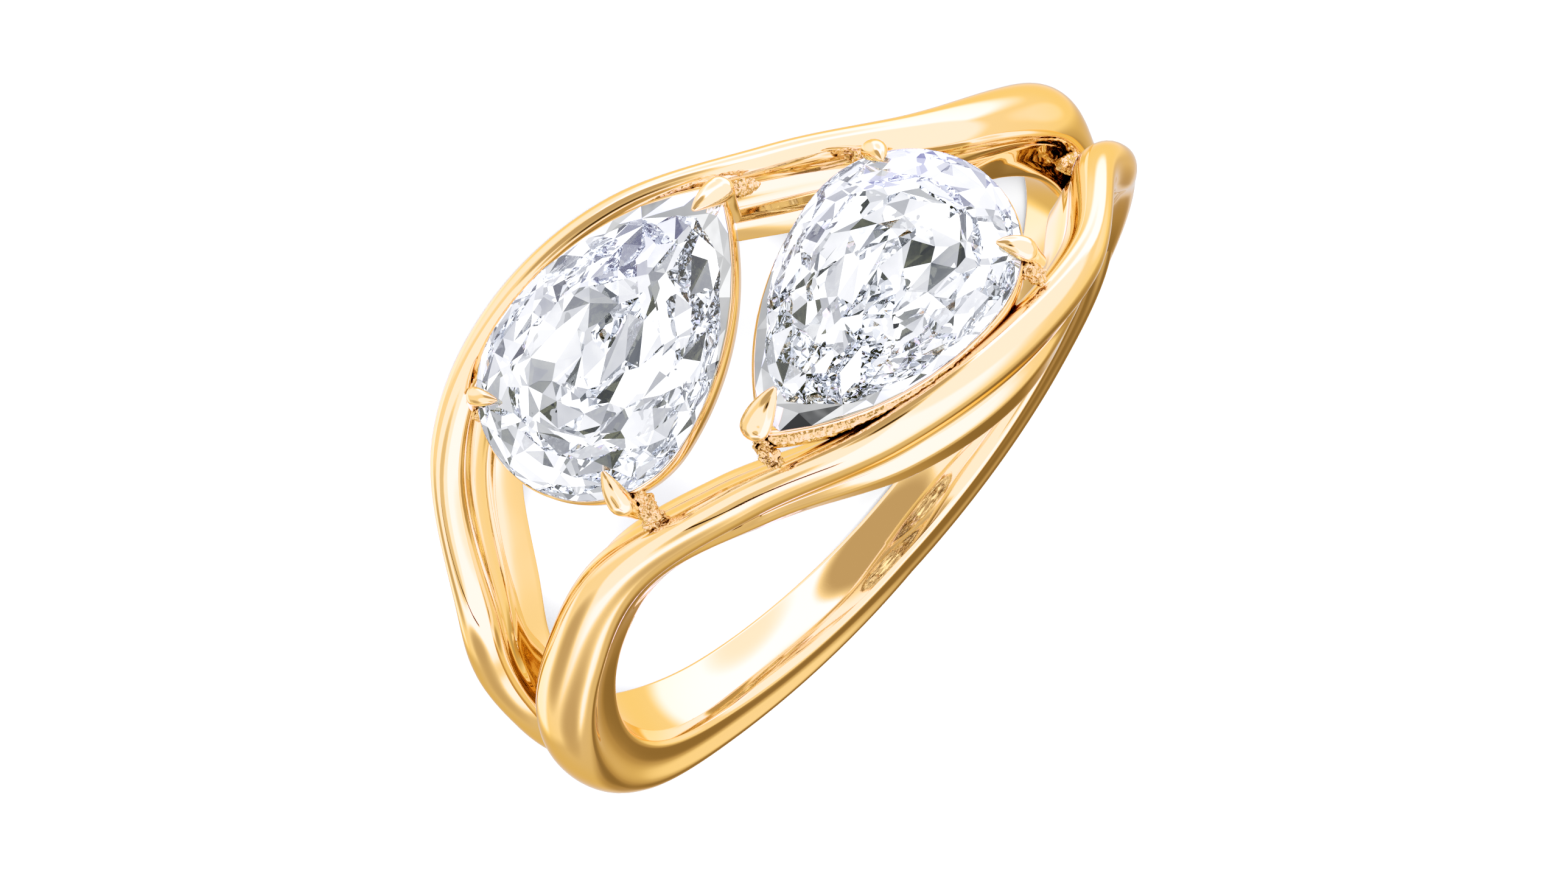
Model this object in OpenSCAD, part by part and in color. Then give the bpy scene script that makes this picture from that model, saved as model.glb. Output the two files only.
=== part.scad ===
// Toi et moi ring: two pear stones, points opposite ways, inside two strands that grow out of the shank.
// The ring is worked out upright: X across the finger, Y along the finger, Z up through the head.
// It is then laid on its back side, as it rests by itself. All sizes are in millimetres.

/* [Finger] */
// Inside diameter of the ring
bore_d = 17; // [14:0.1:21]

/* [Shank] */
// Width of the shank under the finger
shank_w = 1.65; // [1.4:0.05:2.6]
// Thickness of the shank under the finger
shank_t = 1.55; // [1.2:0.05:2.2]

/* [Strands] */
// How far the crest of a strand swings out from the ring's middle plane
swing = 5.05; // [4.7:0.05:5.8]
// Width of a strand's rounded crest
crest_w = 1.3; // [1:0.05:1.6]
// Width of a strand's foot, on the finger
foot_w = 1.6; // [1.2:0.05:1.9]
// Height of a strand above the finger, beside the stones
strand_h = 2.67; // [2.3:0.01:3]
// Depth of the shallow groove along both sides of a strand
groove = 0.1; // [0:0.01:0.2]

/* [Stones] */
// Length of a pear stone
stone_l = 8.65; // [7.5:0.05:9.2]
// Width of a pear stone
stone_w = 5.6; // [4.8:0.05:5.9]
// Height of the stone above its girdle
crown_h = 0.85; // [0.6:0.01:1.1]
// Depth of the stone below its girdle
pavilion_d = 2.3; // [1.6:0.01:2.4]
// Width of the table, as a share of the stone's width
table_share = 0.56; // [0.45:0.01:0.65]
// Thickness of the girdle
girdle_t = 0.08; // [0.04:0.01:0.2]

/* [Head] */
// Distance of each stone's middle from the ring's axis, across the finger
stone_x = 2.25; // [1.8:0.05:3]
// Distance of each stone's middle from the ring's middle plane
stone_y = 2.08; // [1.9:0.01:2.6]
// Height of the girdles' middle above the finger
girdle_rise = 2.53; // [2.4:0.01:3.2]
// Turn of a stone's long axis away from the ring's own
stone_turn = 5.8; // [0:0.1:12]
// How much a stone leans outwards, along the ring
stone_lean = 9.4; // [0:0.1:14]
// How much a stone leans towards the middle plane
stone_cant = 2.4; // [-4:0.1:8]

/* [Settings] */
// Thickness of the gallery rail under a girdle
rail_t = 0.28; // [0.2:0.01:0.4]
// Height of the gallery rail
rail_h = 0.95; // [0.6:0.05:1.3]
// Gap between a stone and its metal
seat_gap = 0.03; // [0.02:0.01:0.08]
// Width of a claw where it passes the girdle
claw_w = 0.66; // [0.5:0.01:0.8]
// How far a claw reaches in over the stone
claw_reach = 0.7; // [0.4:0.05:0.9]

/* [Hidden] */

bore_r = bore_d / 2;
// The strand's metal is drawn this far into the bore, and the bore is then cut round
bore_allow = 0.35;
// Steps of the sweep along a strand, in degrees
strand_step = 5;
// Angles about the finger's axis where a strand starts, on the far shoulder, and where it meets its twin
strand_from = -50;
strand_to = 270;

// One row for each section along the front strand, which the half-turned back strand repeats.
//   angle:  about the finger's axis, from the right shoulder up over the head
//   shank:  0 where the sizes are the strand's, 1 where they are the shank's
//   side:   the crest's distance towards the front, a share of swing
//   lean:   the foot's distance behind the crest, a share of crest_w
//   crest:  the crest's width, a share of crest_w or shank_w
//   foot:   the foot's width, a share of foot_w or shank_w
//   rise:   the height above the finger, a share of strand_h or shank_t
STRAND = [
    // angle shank  side   lean  crest  foot  rise
    [-50,    1,     0.045, 0.03, 0.50, 0.50, 0.90],
    [-25,    0,     0.095, 0.05, 0.83, 0.62, 0.64],
    [0,      0,     0.21,  0.08, 1.00, 0.66, 0.66],
    [15,     0,     0.34,  0.03, 1.02, 0.66, 0.78],
    [30,     0,     0.46, -0.05, 1.00, 0.68, 0.93],
    [50,     0,     0.88,  0.20, 0.96, 0.78, 0.99],
    [70,     0,     1.00,  0.06, 0.88, 0.97, 1.00],
    [90,     0,     0.875, 0.12, 0.88, 1.12, 0.98],
    [110,    0,     0.49,  0.18, 1.00, 1.13, 0.925],
    [130,    0,     0.165, 0.17, 1.16, 0.97, 0.84],
    [150,    0,     0.10,  0.12, 1.33, 0.78, 0.765],
    [180,    1,     0.135, 0.32, 1.22, 1.00, 1.20],
    [200,    1,     0.048, 0.18, 1.48, 1.27, 1.08],
    [230,    1,     0.010, 0.10, 1.17, 1.05, 1.02],
    [270,    1,     0.00,  0.00, 1.00, 0.95, 1.00],
];
ANGLE = 0;
SHANK = 1;
SIDE = 2;
LEAN = 3;
CREST = 4;
FOOT = 5;
RISE = 6;

// Heights up a section's side, as shares of its own height
LEVELS = [0.05, 0.18, 0.34, 0.46, 0.56, 0.68, 0.80, 0.90, 0.97];
// Share of the height where the crest starts to round over
crest_start = 0.58;

// The rail's top, below the girdle's lower edge
rail_drop = 0.12;
// The rail's outside from the girdle's outline: outwards at its top, inwards at its foot
rail_out = 0.16;
rail_in = 0.12;
// Thickness of a claw over its width
claw_flat = 0.85;
// Widest part of the ledge that solder makes on the rail, and where on the outline it ends
ledge_w = 0.42;
ledge_end = 1.8;
// The claws of one stone: place on the pear's outline, reach as a share of claw_reach, shift along the
// girdle (on the left stone, and the other way on the right one: they are bent by hand), rise of the tip
// as a share of crown_h, and root as [out, along, up] from the girdle
CLAWS = [
    [0, 1.15, 0.135, 0.42, [0.3, 0.4, -1.35]],
    [2.85, 1, 0.11, 0.72, [0.38, 0, -1]],
    [5.135, 0.95, -0.14, 0.72, [0.62, 0.1, -1.05]],
];
// Lumps of solder from a rail to a strand: place on the outline, then rows of out, along, up, half width
SOLDER = [
    [0, [[0.02, 0.1, -0.3, 0.16], [0.15, 0.35, -0.75, 0.25], [0.22, 0.6, -1.35, 0.28]]],
    [5.12, [[-0.02, 0.42, -0.35, 0.2], [0.3, 0.42, -0.66, 0.24], [0.72, 0.45, -1.15, 0.28]]],
];

// Smooth values between table rows
function smooth(t) = let (c = min(1, max(0, t))) c * c * (3 - 2 * c);
function mix(a, b, t) = a + (b - a) * t;
function last_row(table, x) = max([for (i = [0 : len(table) - 2]) if (table[i][0] <= x || i == 0) i]);
function slope(table, i, col) =
    let (a = max(0, i - 1), b = min(len(table) - 1, i + 1))
    (table[b][col] - table[a][col]) / (table[b][0] - table[a][0]);
function look_up(table, x, col) =
    let (
        i = last_row(table, x),
        h = table[i + 1][0] - table[i][0],
        t = (x - table[i][0]) / h
    )
    (2 * t * t * t - 3 * t * t + 1) * table[i][col]
    + (t * t * t - 2 * t * t + t) * h * slope(table, i, col)
    + (3 * t * t - 2 * t * t * t) * table[i + 1][col]
    + (t * t * t - t * t) * h * slope(table, i + 1, col);

// A strand's section at an angle: points [y, r] up its front side and down its back side
function strand_section(angle) =
    let (
        shank = look_up(STRAND, angle, SHANK),
        crest = look_up(STRAND, angle, CREST) * mix(crest_w, shank_w, shank),
        foot = look_up(STRAND, angle, FOOT) * mix(foot_w, shank_w, shank),
        rise = look_up(STRAND, angle, RISE) * mix(strand_h, shank_t, shank),
        y_crest = -look_up(STRAND, angle, SIDE) * swing,
        y_foot = y_crest + look_up(STRAND, angle, LEAN) * crest_w,
        half = [for (t = LEVELS)
            let (
                over = max(0, (t - crest_start) / (1 - crest_start)),
                body = mix(foot / 2, crest / 2 * sqrt(1 - over * over), smooth((t - 0.3) / 0.35)),
                corner = t < 0.1 ? 0.06 : 0
            )
            body - corner - groove * exp(-pow((t - 0.5) / 0.1, 2))],
        middle = [for (t = LEVELS) mix(y_foot, y_crest, smooth(t / 0.9))],
        n = len(LEVELS)
    )
    concat(
        [[y_foot - half[0], bore_r - bore_allow]],
        [for (i = [0 : n - 1]) [middle[i] - half[i], bore_r + LEVELS[i] * rise]],
        [[y_crest, bore_r + rise]],
        [for (i = [n - 1 : -1 : 0]) [middle[i] + half[i], bore_r + LEVELS[i] * rise]],
        [[y_foot + half[0], bore_r - bore_allow]]
    );

// The strand lies on the floor on its foot's edge beside a stone, and the shank on its side, on two spots.
// The plane through the three gives the two turns that lay the ring down.
REST_AT = [75, 220, 235];
function foot_edge(angle) = [bore_r * cos(angle), strand_section(angle)[0][0], bore_r * sin(angle)];
function side_spot(angle) =
    let (
        section = strand_section(angle),
        y = min([for (p = section) p[0]]),
        r = [for (p = section) if (p[0] == y) p[1]][0]
    )
    [r * cos(angle), y, r * sin(angle)];
function floor_normal() =
    let (a = foot_edge(REST_AT[0]), b = side_spot(REST_AT[1]), c = side_spot(REST_AT[2]), n = cross(c - a, b - a))
    n[1] < 0 ? n / norm(n) : -n / norm(n);
rest_normal = floor_normal();
rest_roll = atan2(rest_normal[0], -rest_normal[1]);
rest_tilt = atan2(-rest_normal[2], norm([rest_normal[0], rest_normal[1]]));

// Skin over a row of rings that all have the same odd number of points, or are closed in a loop.
// The ends are ladders of flat rungs between a section's two sides.
module skin(rings, closed = false) {
    n = len(rings[0]);
    m = len(rings);
    points = [for (ring = rings) for (p = ring) p];
    walls = [for (i = [0 : closed ? m - 1 : m - 2]) for (j = [0 : n - 1])
        let (
            a = i * n + j,
            b = i * n + (j + 1) % n,
            c = ((i + 1) % m) * n + (j + 1) % n,
            d = ((i + 1) % m) * n + j
        )
        each [[a, c, b], [a, d, c]]];
    ends = closed ? [] : [for (j = [0 : (n - 3) / 2])
        let (rung = j < (n - 3) / 2 ? [j, j + 1, n - 2 - j, n - 1 - j] : [j, j + 1, n - 1 - j])
        each [rung, [for (k = [len(rung) - 1 : -1 : 0]) (m - 1) * n + rung[k]]]];
    polyhedron(points, concat(walls, ends));
}

module strand() {
    skin([for (angle = [strand_from : strand_step : strand_to])
        [for (p = strand_section(angle)) [p[1] * cos(angle), p[0], p[1] * sin(angle)]]]);
}

// A point of the pear's outline, d outside it. s runs 0 to 8 round it: 0 is the tip, 4 the round end.
function pear_radius(l, w) = (pow(l - w / 2, 2) + pow(w / 2, 2)) / w;
function pear(s, d = 0, l = stone_l, w = stone_w) =
    let (
        turn = s < 0 ? s + 8 : s >= 8 ? s - 8 : s,
        r = pear_radius(l, w),
        h = r - w / 2,
        tip = acos(h / (r + d)),
        side = turn <= 2 ? tip * (1 - turn / 2) : tip * (turn - 6) / 2,
        round_end = 90 + 45 * (turn - 2)
    )
    turn > 2 && turn < 6
        ? (w / 2 + d) * [cos(round_end), sin(round_end)]
        : [(r + d) * sin(side), (turn <= 2 ? 1 : -1) * ((r + d) * cos(side) - h)];

// The stone's rings shrink towards this point of its long axis
keel = 0.06 * stone_l;
function ring_point(s, share, z, grow) =
    let (p = pear(s, grow))
    [keel + (p[0] - keel) * share, p[1] * share, z];

// Facets of the brilliant cut: eight mains, stars and upper halves above, two tiers of mains below
facet_steps = 4;
star_rise = 0.56;
star_share = mix(table_share, 1, 0.52);
half_depth = 0.66;
half_share = 0.42;
function cut_rings(grow) = let (top = girdle_t / 2 + grow) [
    [for (i = [0 : 7]) ring_point(i, table_share, top + crown_h, grow)],
    [for (i = [0 : 7]) ring_point(i + 0.5, star_share, top + crown_h * star_rise, grow)],
    [for (i = [0 : 8 * facet_steps - 1]) ring_point(i / facet_steps, 1, top, grow)],
    [for (i = [0 : 8 * facet_steps - 1]) ring_point(i / facet_steps, 1, -top, grow)],
    [for (i = [0 : 7]) ring_point(i + 0.5, half_share, -top - pavilion_d * half_depth, grow)],
    [[keel, 0, -top - pavilion_d]]
];

// The cut stone, or with grow the room for it in the metal
module brilliant(grow = 0) {
    rings = cut_rings(grow);
    n = 8 * facet_steps;
    table = 0;
    star = 8;
    upper = 16;
    lower = upper + n;
    half = lower + n;
    culet = half + 8;
    points = [for (ring = rings) for (p = ring) p];
    faces = concat(
        [[for (i = [7 : -1 : 0]) table + i]],
        [for (i = [0 : 7]) [table + i, table + (i + 1) % 8, star + i]],
        [for (i = [0 : 7])
            let (main = upper + i * facet_steps)
            each [[table + i, star + i, main], [table + i, main, star + (i + 7) % 8]]],
        [for (i = [0 : 7]) for (j = [0 : facet_steps - 1])
            let (a = i * facet_steps + j)
            [star + i, upper + (a + 1) % n, upper + a]],
        [for (a = [0 : n - 1])
            each [[upper + a, upper + (a + 1) % n, lower + (a + 1) % n],
                [upper + a, lower + (a + 1) % n, lower + a]]],
        [for (i = [0 : 7]) for (j = [0 : facet_steps - 1])
            let (a = i * facet_steps + j)
            [half + i, lower + a, lower + (a + 1) % n]],
        [for (i = [0 : 7])
            let (main = lower + i * facet_steps)
            each [[culet, main, half + i], [culet, half + (i + 7) % 8, main]]]
    );
    polyhedron(points, faces);
}

// From the middle of a stone's girdle to its place on the head
module at_stone() {
    translate([-stone_x, stone_y, bore_r + girdle_rise])
        rotate([stone_cant, -stone_lean, 0])
            rotate([0, 0, stone_turn])
                translate([-(stone_l - stone_w) / 2, 0, 0])
                    children();
}

module half_turn() {
    rotate([0, 0, 180]) children();
}

// The upright ring laid on its back side, head raised
module rested() {
    rotate([-rest_tilt, 0, 0])
        rotate([0, rest_roll, 0])
            rotate([0, 180, 0])
                rotate([90, 0, 0])
                    children();
}

// How far the rail is widened where solder joins its side to a strand
function ledge(s) = s < ledge_end ? ledge_w * smooth(s / 0.15) * smooth((ledge_end - s) / (ledge_end - 0.2)) : 0;

// The thin wall under a girdle that the stone's lower facets rest on
module gallery_rail() {
    steps = 48;
    top = -girdle_t / 2 - rail_drop;
    skin([for (i = [0 : steps - 1])
        let (s = 8 * i / steps, more = ledge(s), high = pear(s, rail_out + more),
            high_in = pear(s, rail_out - rail_t), low = pear(s, more * 0.8 - rail_in),
            low_in = pear(s, -rail_in - rail_t))
        [
            [high[0], high[1], top - more * 0.7],
            [low[0], low[1], top - rail_h],
            [low_in[0], low_in[1], top - rail_h],
            [high_in[0], high_in[1], top]
        ]], closed = true);
}

// A bent round rod beside the girdle at s. Its rows: out from the girdle, along it, up, and half width.
module rod(s, path) {
    last = len(path) - 1;
    sides = 11;
    p = pear(s);
    o = pear(s, 1) - p;
    t = [-o[1], o[0]];
    skin([for (i = [0 : last])
        let (
            step = path[min(last, i + 1)] - path[max(0, i - 1)],
            run = [step[0], step[2]] / norm([step[0], step[2]]),
            q = path[i]
        )
        [for (k = [0 : sides - 1])
            let (
                a = 90 + 360 * k / sides,
                wide = q[1] + q[3] * cos(a),
                thick = q[3] * claw_flat * sin(a),
                out = q[0] - run[1] * thick
            )
            [p[0] + o[0] * out + t[0] * wide, p[1] + o[1] * out + t[1] * wide, q[2] + run[0] * thick]
        ]]);
}

// A claw from its root in a strand, up past the girdle and in over the stone, to a point
module claw(s, reach, shift, tip_rise, root) {
    r = claw_w / 2;
    rod(s, [
        [root[0], root[1], root[2], r * 1.1],
        [mix(root[0], r * 0.45, 0.65), mix(root[1], shift, 0.6), root[2] * 0.45, r * 0.96],
        [r * 0.5, shift, -0.05, r * 0.98],
        [r * 0.4, shift, crown_h * 0.22, r],
        [0, shift, crown_h * 0.38, r * 0.92],
        [-reach * 0.3, shift * 1.1, crown_h * mix(0.38, tip_rise, 0.4), r * 0.76],
        [-reach * 0.65, shift * 1.25, crown_h * mix(0.38, tip_rise, 0.75), r * 0.48],
        [-reach, shift * 1.4, crown_h * tip_rise, r * 0.12]
    ]);
}

// hand is 1 for the left stone and -1 for the right one
module setting(hand) {
    gallery_rail();
    for (c = CLAWS)
        claw(c[0], c[1] * claw_reach, c[2] * hand, c[3], c[4]);
    for (c = SOLDER)
        rod(c[0], c[1]);
}

module both_sides() {
    children();
    half_turn() children();
}

module band() {
    color("gold")
        rested()
            difference() {
                union() {
                    both_sides() strand();
                    at_stone() setting(1);
                    half_turn() at_stone() setting(-1);
                }
                both_sides() at_stone() brilliant(grow = seat_gap);
                rotate([90, 0, 0])
                    cylinder(r = bore_r, h = 4 * swing, center = true, $fn = 180);
            }
}

module stone_left() {
    color("white") rested() at_stone() brilliant();
}

module stone_right() {
    color("white") rested() half_turn() at_stone() brilliant();
}

band();
stone_left();
stone_right();
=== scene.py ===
"""Looks of the toi et moi ring: polished gold strands, settings and two cut stones on a pale floor.

Sizes are worked out in millimetres on the upright ring, X across the finger, Y along it and Z up through
the head, as in the part's source, and then laid down and turned into metres. A hand of 1 is the left
stone and its setting, and -1 is the right one, which is the left one turned half a turn.
"""

import math

import bpy
import numpy as np
from mathutils import Matrix, Vector


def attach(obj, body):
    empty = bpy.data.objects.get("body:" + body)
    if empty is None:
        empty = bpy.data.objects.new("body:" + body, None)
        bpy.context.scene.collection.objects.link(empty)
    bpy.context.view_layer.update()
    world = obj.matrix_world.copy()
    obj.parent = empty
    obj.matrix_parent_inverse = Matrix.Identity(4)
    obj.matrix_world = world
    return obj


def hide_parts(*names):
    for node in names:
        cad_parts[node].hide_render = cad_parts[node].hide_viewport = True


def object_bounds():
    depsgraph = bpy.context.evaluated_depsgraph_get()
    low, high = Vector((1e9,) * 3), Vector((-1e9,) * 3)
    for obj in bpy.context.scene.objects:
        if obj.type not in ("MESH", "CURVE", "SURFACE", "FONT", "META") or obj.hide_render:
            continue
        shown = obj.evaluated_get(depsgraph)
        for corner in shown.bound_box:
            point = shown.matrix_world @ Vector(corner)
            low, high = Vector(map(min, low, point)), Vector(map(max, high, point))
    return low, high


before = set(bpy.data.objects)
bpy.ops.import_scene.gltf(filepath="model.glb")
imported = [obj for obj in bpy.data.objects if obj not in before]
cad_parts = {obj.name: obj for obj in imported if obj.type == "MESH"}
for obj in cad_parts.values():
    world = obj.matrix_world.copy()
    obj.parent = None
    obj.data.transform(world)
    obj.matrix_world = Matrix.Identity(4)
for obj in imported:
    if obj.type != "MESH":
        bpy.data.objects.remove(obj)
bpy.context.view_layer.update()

MM = 0.001

# The part's own sizes, as in its source
BORE_R = 8.5
SHANK_W, SHANK_T = 1.65, 1.55
SWING, CREST_W, FOOT_W, STRAND_H, GROOVE = 5.05, 1.3, 1.6, 2.67, 0.1
STONE_L, STONE_W, CROWN_H, PAVILION_D, GIRDLE_T = 8.65, 5.6, 0.85, 2.3, 0.08
TABLE_SHARE = 0.56
CREST_START = 0.58
STONE_X, STONE_Y, GIRDLE_RISE = 2.25, 2.08, 2.53
STONE_TURN, STONE_LEAN, STONE_CANT = 5.8, 9.4, 2.4
RAIL_H, SEAT_DROP = 0.95, 0.06
REST_ROLL, REST_TILT = -7.27432, 13.1258

# angle, shank, side, lean, crest, foot, rise: the strand's table of the part's source
STRAND = [
    (-50, 1, 0.045, 0.03, 0.50, 0.50, 0.90),
    (-25, 0, 0.095, 0.05, 0.83, 0.62, 0.64),
    (0, 0, 0.21, 0.08, 1.00, 0.66, 0.66),
    (15, 0, 0.34, 0.03, 1.02, 0.66, 0.78),
    (30, 0, 0.46, -0.05, 1.00, 0.68, 0.93),
    (50, 0, 0.88, 0.20, 0.96, 0.78, 0.99),
    (70, 0, 1.00, 0.06, 0.88, 0.97, 1.00),
    (90, 0, 0.875, 0.12, 0.88, 1.12, 0.98),
    (110, 0, 0.49, 0.18, 1.00, 1.13, 0.925),
    (130, 0, 0.165, 0.17, 1.16, 0.97, 0.84),
    (150, 0, 0.10, 0.12, 1.33, 0.78, 0.765),
    (180, 1, 0.135, 0.32, 1.22, 1.00, 1.20),
    (200, 1, 0.048, 0.18, 1.48, 1.27, 1.08),
    (230, 1, 0.010, 0.10, 1.17, 1.05, 1.02),
    (270, 1, 0.00, 0.00, 1.00, 0.95, 1.00),
]
STRAND_STEP = 1.5

# What the source leaves to this file: the rounding of a strand's foot, how far its root is let into the
# shank's bore, and the crisp line down its groove, whose half width is a share of the strand's height
FOOT_CORNER, LET_IN = 0.12, 0.012
LINE_DEPTH, LINE_HALF = 0.05, 0.011
# The width of the solder ledge, and where on the girdle it runs out
LEDGE_W, LEDGE_END = 0.19, 1.9
# A claw's thickness as a share of its width, and how it is filed: way from body to tip, share of its width
CLAW_FLAT = 0.85
CLAW_FILED = ((0, 1.0), (0.18, 1.0), (0.38, 0.90), (0.58, 0.72), (0.76, 0.50), (0.90, 0.28), (0.975, 0.13))
CLAW_BELLY = 0.30
ROD_SIDES, ROD_STEPS = 20, 6

# Facets round the stone in its first pavilion tier; the others have as many or twice as many
PAVILION_MAINS = 8
GIRDLE_STEPS = 64
# Where the stone is deepest, along it from the middle of the round end
KEEL = 0.06 * STONE_L

# The stones' crumpled mirror: shards round it, its rows from the eye to the rim as shares of the outline,
# where the eye is along the stone as for KEEL, its rise at the eye, and the share of the way in from the
# rim at which it has risen
FIRE_ROUND = 28
FIRE_ROWS = (0.08, 0.21, 0.35, 0.48, 0.61, 0.74, 0.85, 0.93, 0.992)
FIRE_EYE = -0.3
FIRE_DOME, FIRE_SLOPE = 0.34, 0.44
# Its height at the rim, its thickness and its least depth below the crown
FIRE_RIM, FIRE_THICK, FIRE_CLEAR = -0.03, 0.07, 0.015
# How far a corner strays: round, as a share of a shard; in and out, as a share of the outline, and less
# near the rim; and up and down, for each millimetre from the eye
FIRE_STRAY, FIRE_SWAY, FIRE_SWAY_NEAR_RIM, FIRE_CRUMPLE = 0.42, 0.045, 0.025, 0.022
FIRE_SEED = 11


def turn(axis, degrees):
    """A turn about an axis of the frame."""
    return np.array(Matrix.Rotation(math.radians(degrees), 3, axis))


LAID = turn("X", -REST_TILT) @ turn("Y", REST_ROLL) @ turn("Y", 180) @ turn("X", 90)
AT_STONE = turn("Y", -STONE_LEAN) @ turn("X", STONE_CANT) @ turn("Z", STONE_TURN)
HALF_TURN = np.diag([-1.0, -1.0, 1.0])


def laid(points):
    """From the upright ring in millimetres to the floor frame in metres."""
    return np.asarray(points) @ LAID.T * MM


def on_head(points, hand):
    """From a stone's own frame to the upright ring. hand is 1 for the left stone, -1 for the right one."""
    p = np.asarray(points) - [(STONE_L - STONE_W) / 2, 0, 0]
    p = p @ AT_STONE.T + [-STONE_X, STONE_Y, BORE_R + GIRDLE_RISE]
    return p if hand == 1 else p @ HALF_TURN.T


def smooth(t):
    """0 up to 0, 1 from 1 on, and a soft step between."""
    c = np.clip(t, 0, 1)
    return c * c * (3 - 2 * c)


def mix(a, b, t):
    """The share t of the way from a to b."""
    return a + (b - a) * t


def curve_between(t, run, start, start_slope, end, end_slope):
    """The smooth curve from start to end over run, at the share t of it."""
    return (
        (2 * t**3 - 3 * t**2 + 1) * start
        + (t**3 - 2 * t**2 + t) * run * start_slope
        + (3 * t**2 - 2 * t**3) * end
        + (t**3 - t**2) * run * end_slope
    )


def look_up(table, x, col):
    """A table's column at x, bent smoothly from row to row."""
    i = max([k for k in range(len(table) - 1) if table[k][0] <= x] or [0])

    def slope(k):
        a, b = max(0, k - 1), min(len(table) - 1, k + 1)
        return (table[b][col] - table[a][col]) / (table[b][0] - table[a][0])

    run = table[i + 1][0] - table[i][0]
    return curve_between((x - table[i][0]) / run, run, table[i][col], slope(i), table[i + 1][col], slope(i + 1))


# ---------------------------------------------------------------- tools


def deselect():
    """Nothing selected, and no object open for editing."""
    if bpy.context.object and bpy.context.object.mode != "OBJECT":
        bpy.ops.object.mode_set(mode="OBJECT")
    bpy.ops.object.select_all(action="DESELECT")


def pick(obj):
    """Only this object selected, and active."""
    deselect()
    obj.select_set(True)
    bpy.context.view_layer.objects.active = obj


def sweep(name, rings, closed=False):
    """A grid rolled into a tube: its rows are set on the rings, its seam is merged and its ends are filled."""
    rings = np.asarray(rings)
    if closed:
        rings = np.concatenate([rings, rings[:1]])
    rings = np.concatenate([rings, rings[:, :1]], axis=1)
    m, n = rings.shape[:2]
    deselect()
    bpy.ops.mesh.primitive_grid_add(x_subdivisions=n - 1, y_subdivisions=m - 1, size=1)
    obj = bpy.context.object
    obj.name = obj.data.name = name
    assert len(obj.data.vertices) == m * n, (len(obj.data.vertices), m, n)
    obj.data.vertices.foreach_set("co", rings.reshape(-1))
    bpy.ops.object.mode_set(mode="EDIT")
    bpy.ops.mesh.select_all(action="SELECT")
    bpy.ops.mesh.remove_doubles(threshold=1e-7)
    if not closed:
        bpy.ops.mesh.select_all(action="DESELECT")
        bpy.ops.mesh.select_non_manifold()
        bpy.ops.mesh.edge_face_add()
    bpy.ops.mesh.select_all(action="SELECT")
    bpy.ops.mesh.normals_make_consistent(inside=False)
    bpy.ops.object.mode_set(mode="OBJECT")
    return obj


def apply_modifier(obj, kind, **settings):
    pick(obj)
    bpy.ops.object.modifier_add(type=kind)
    modifier = obj.modifiers[-1]
    for key, value in settings.items():
        setattr(modifier, key, value)
    bpy.ops.object.modifier_apply(modifier=modifier.name)


def shade(obj, degrees):
    """Smooth faces, with crisp edges where they meet at more than this."""
    pick(obj)
    bpy.ops.object.shade_smooth_by_angle(angle=math.radians(degrees))


# ---------------------------------------------------------------- band


def section(angle, levels):
    """A strand's section, as in the part's source with more points and with its foot's corners rounded."""
    shank = look_up(STRAND, angle, 1)
    crest = look_up(STRAND, angle, 4) * mix(CREST_W, SHANK_W, shank)
    foot = look_up(STRAND, angle, 5) * mix(FOOT_W, SHANK_W, shank)
    rise = look_up(STRAND, angle, 6) * mix(STRAND_H, SHANK_T, shank)
    y_crest = -look_up(STRAND, angle, 2) * SWING
    y_foot = y_crest + look_up(STRAND, angle, 3) * CREST_W
    # The groove runs out on the shank, and the crisp line in it sooner
    groove = GROOVE * smooth((angle + 15) / 35) * smooth((180 - angle) / 35)
    window = smooth((angle - 12) / 20) * smooth((168 - angle) / 20)

    def half(t):
        over = np.maximum(0, (t - CREST_START) / (1 - CREST_START))
        body = mix(foot / 2, crest / 2 * np.sqrt(np.maximum(0, 1 - over**2)), smooth((t - 0.3) / 0.35))
        corner = FOOT_CORNER * np.maximum(0, 1 - t * rise / FOOT_CORNER) ** 2
        line = LINE_DEPTH * window * np.maximum(0, 1 - abs(t - 0.5) / LINE_HALF)
        return body - corner - groove * np.exp(-(((t - 0.5) / 0.1) ** 2)) - line

    t = np.asarray(levels)
    h = half(t)
    mid = mix(y_foot, y_crest, smooth(t / 0.9))
    # The root's bore is let in by a hair, so the shank's own bore runs over it with a crisp edge
    r = BORE_R + t * rise + LET_IN * (1 - t) * smooth((120 - angle) / 30)
    left = np.stack([mid - h, r], 1)
    right = np.stack([mid + h, r], 1)
    top = np.array([[y_crest, BORE_R + rise]])
    return np.concatenate([left, top, right[::-1]])


def strand(name, twin):
    """One strand with its half of the shank. twin is 1 for the one that is turned half a turn."""
    foot = [0.0, 0.012, 0.03, 0.05, 0.1, 0.18, 0.26]
    body = [0.32, 0.38, 0.43, 0.47, 0.489, 0.495, 0.5, 0.505, 0.511, 0.53, 0.57, 0.62, 0.67]
    dome = [0.58 + 0.42 * math.sin(math.radians(a)) for a in (15, 24, 33, 42, 51, 60, 69, 77, 84)]
    levels = sorted(foot + body + dome)
    start, end = STRAND[0][0], STRAND[-1][0]
    rings = []
    for angle in (*np.arange(start, end, STRAND_STEP).tolist(), float(end)):
        s = section(angle, levels)
        a = math.radians(angle)
        rings.append(np.stack([s[:, 1] * math.cos(a), s[:, 0], s[:, 1] * math.sin(a)], 1))
    rings = np.array(rings)
    if twin:
        rings = rings @ HALF_TURN.T
    obj = sweep(name, laid(rings))
    shade(obj, 40)
    return obj


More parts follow.
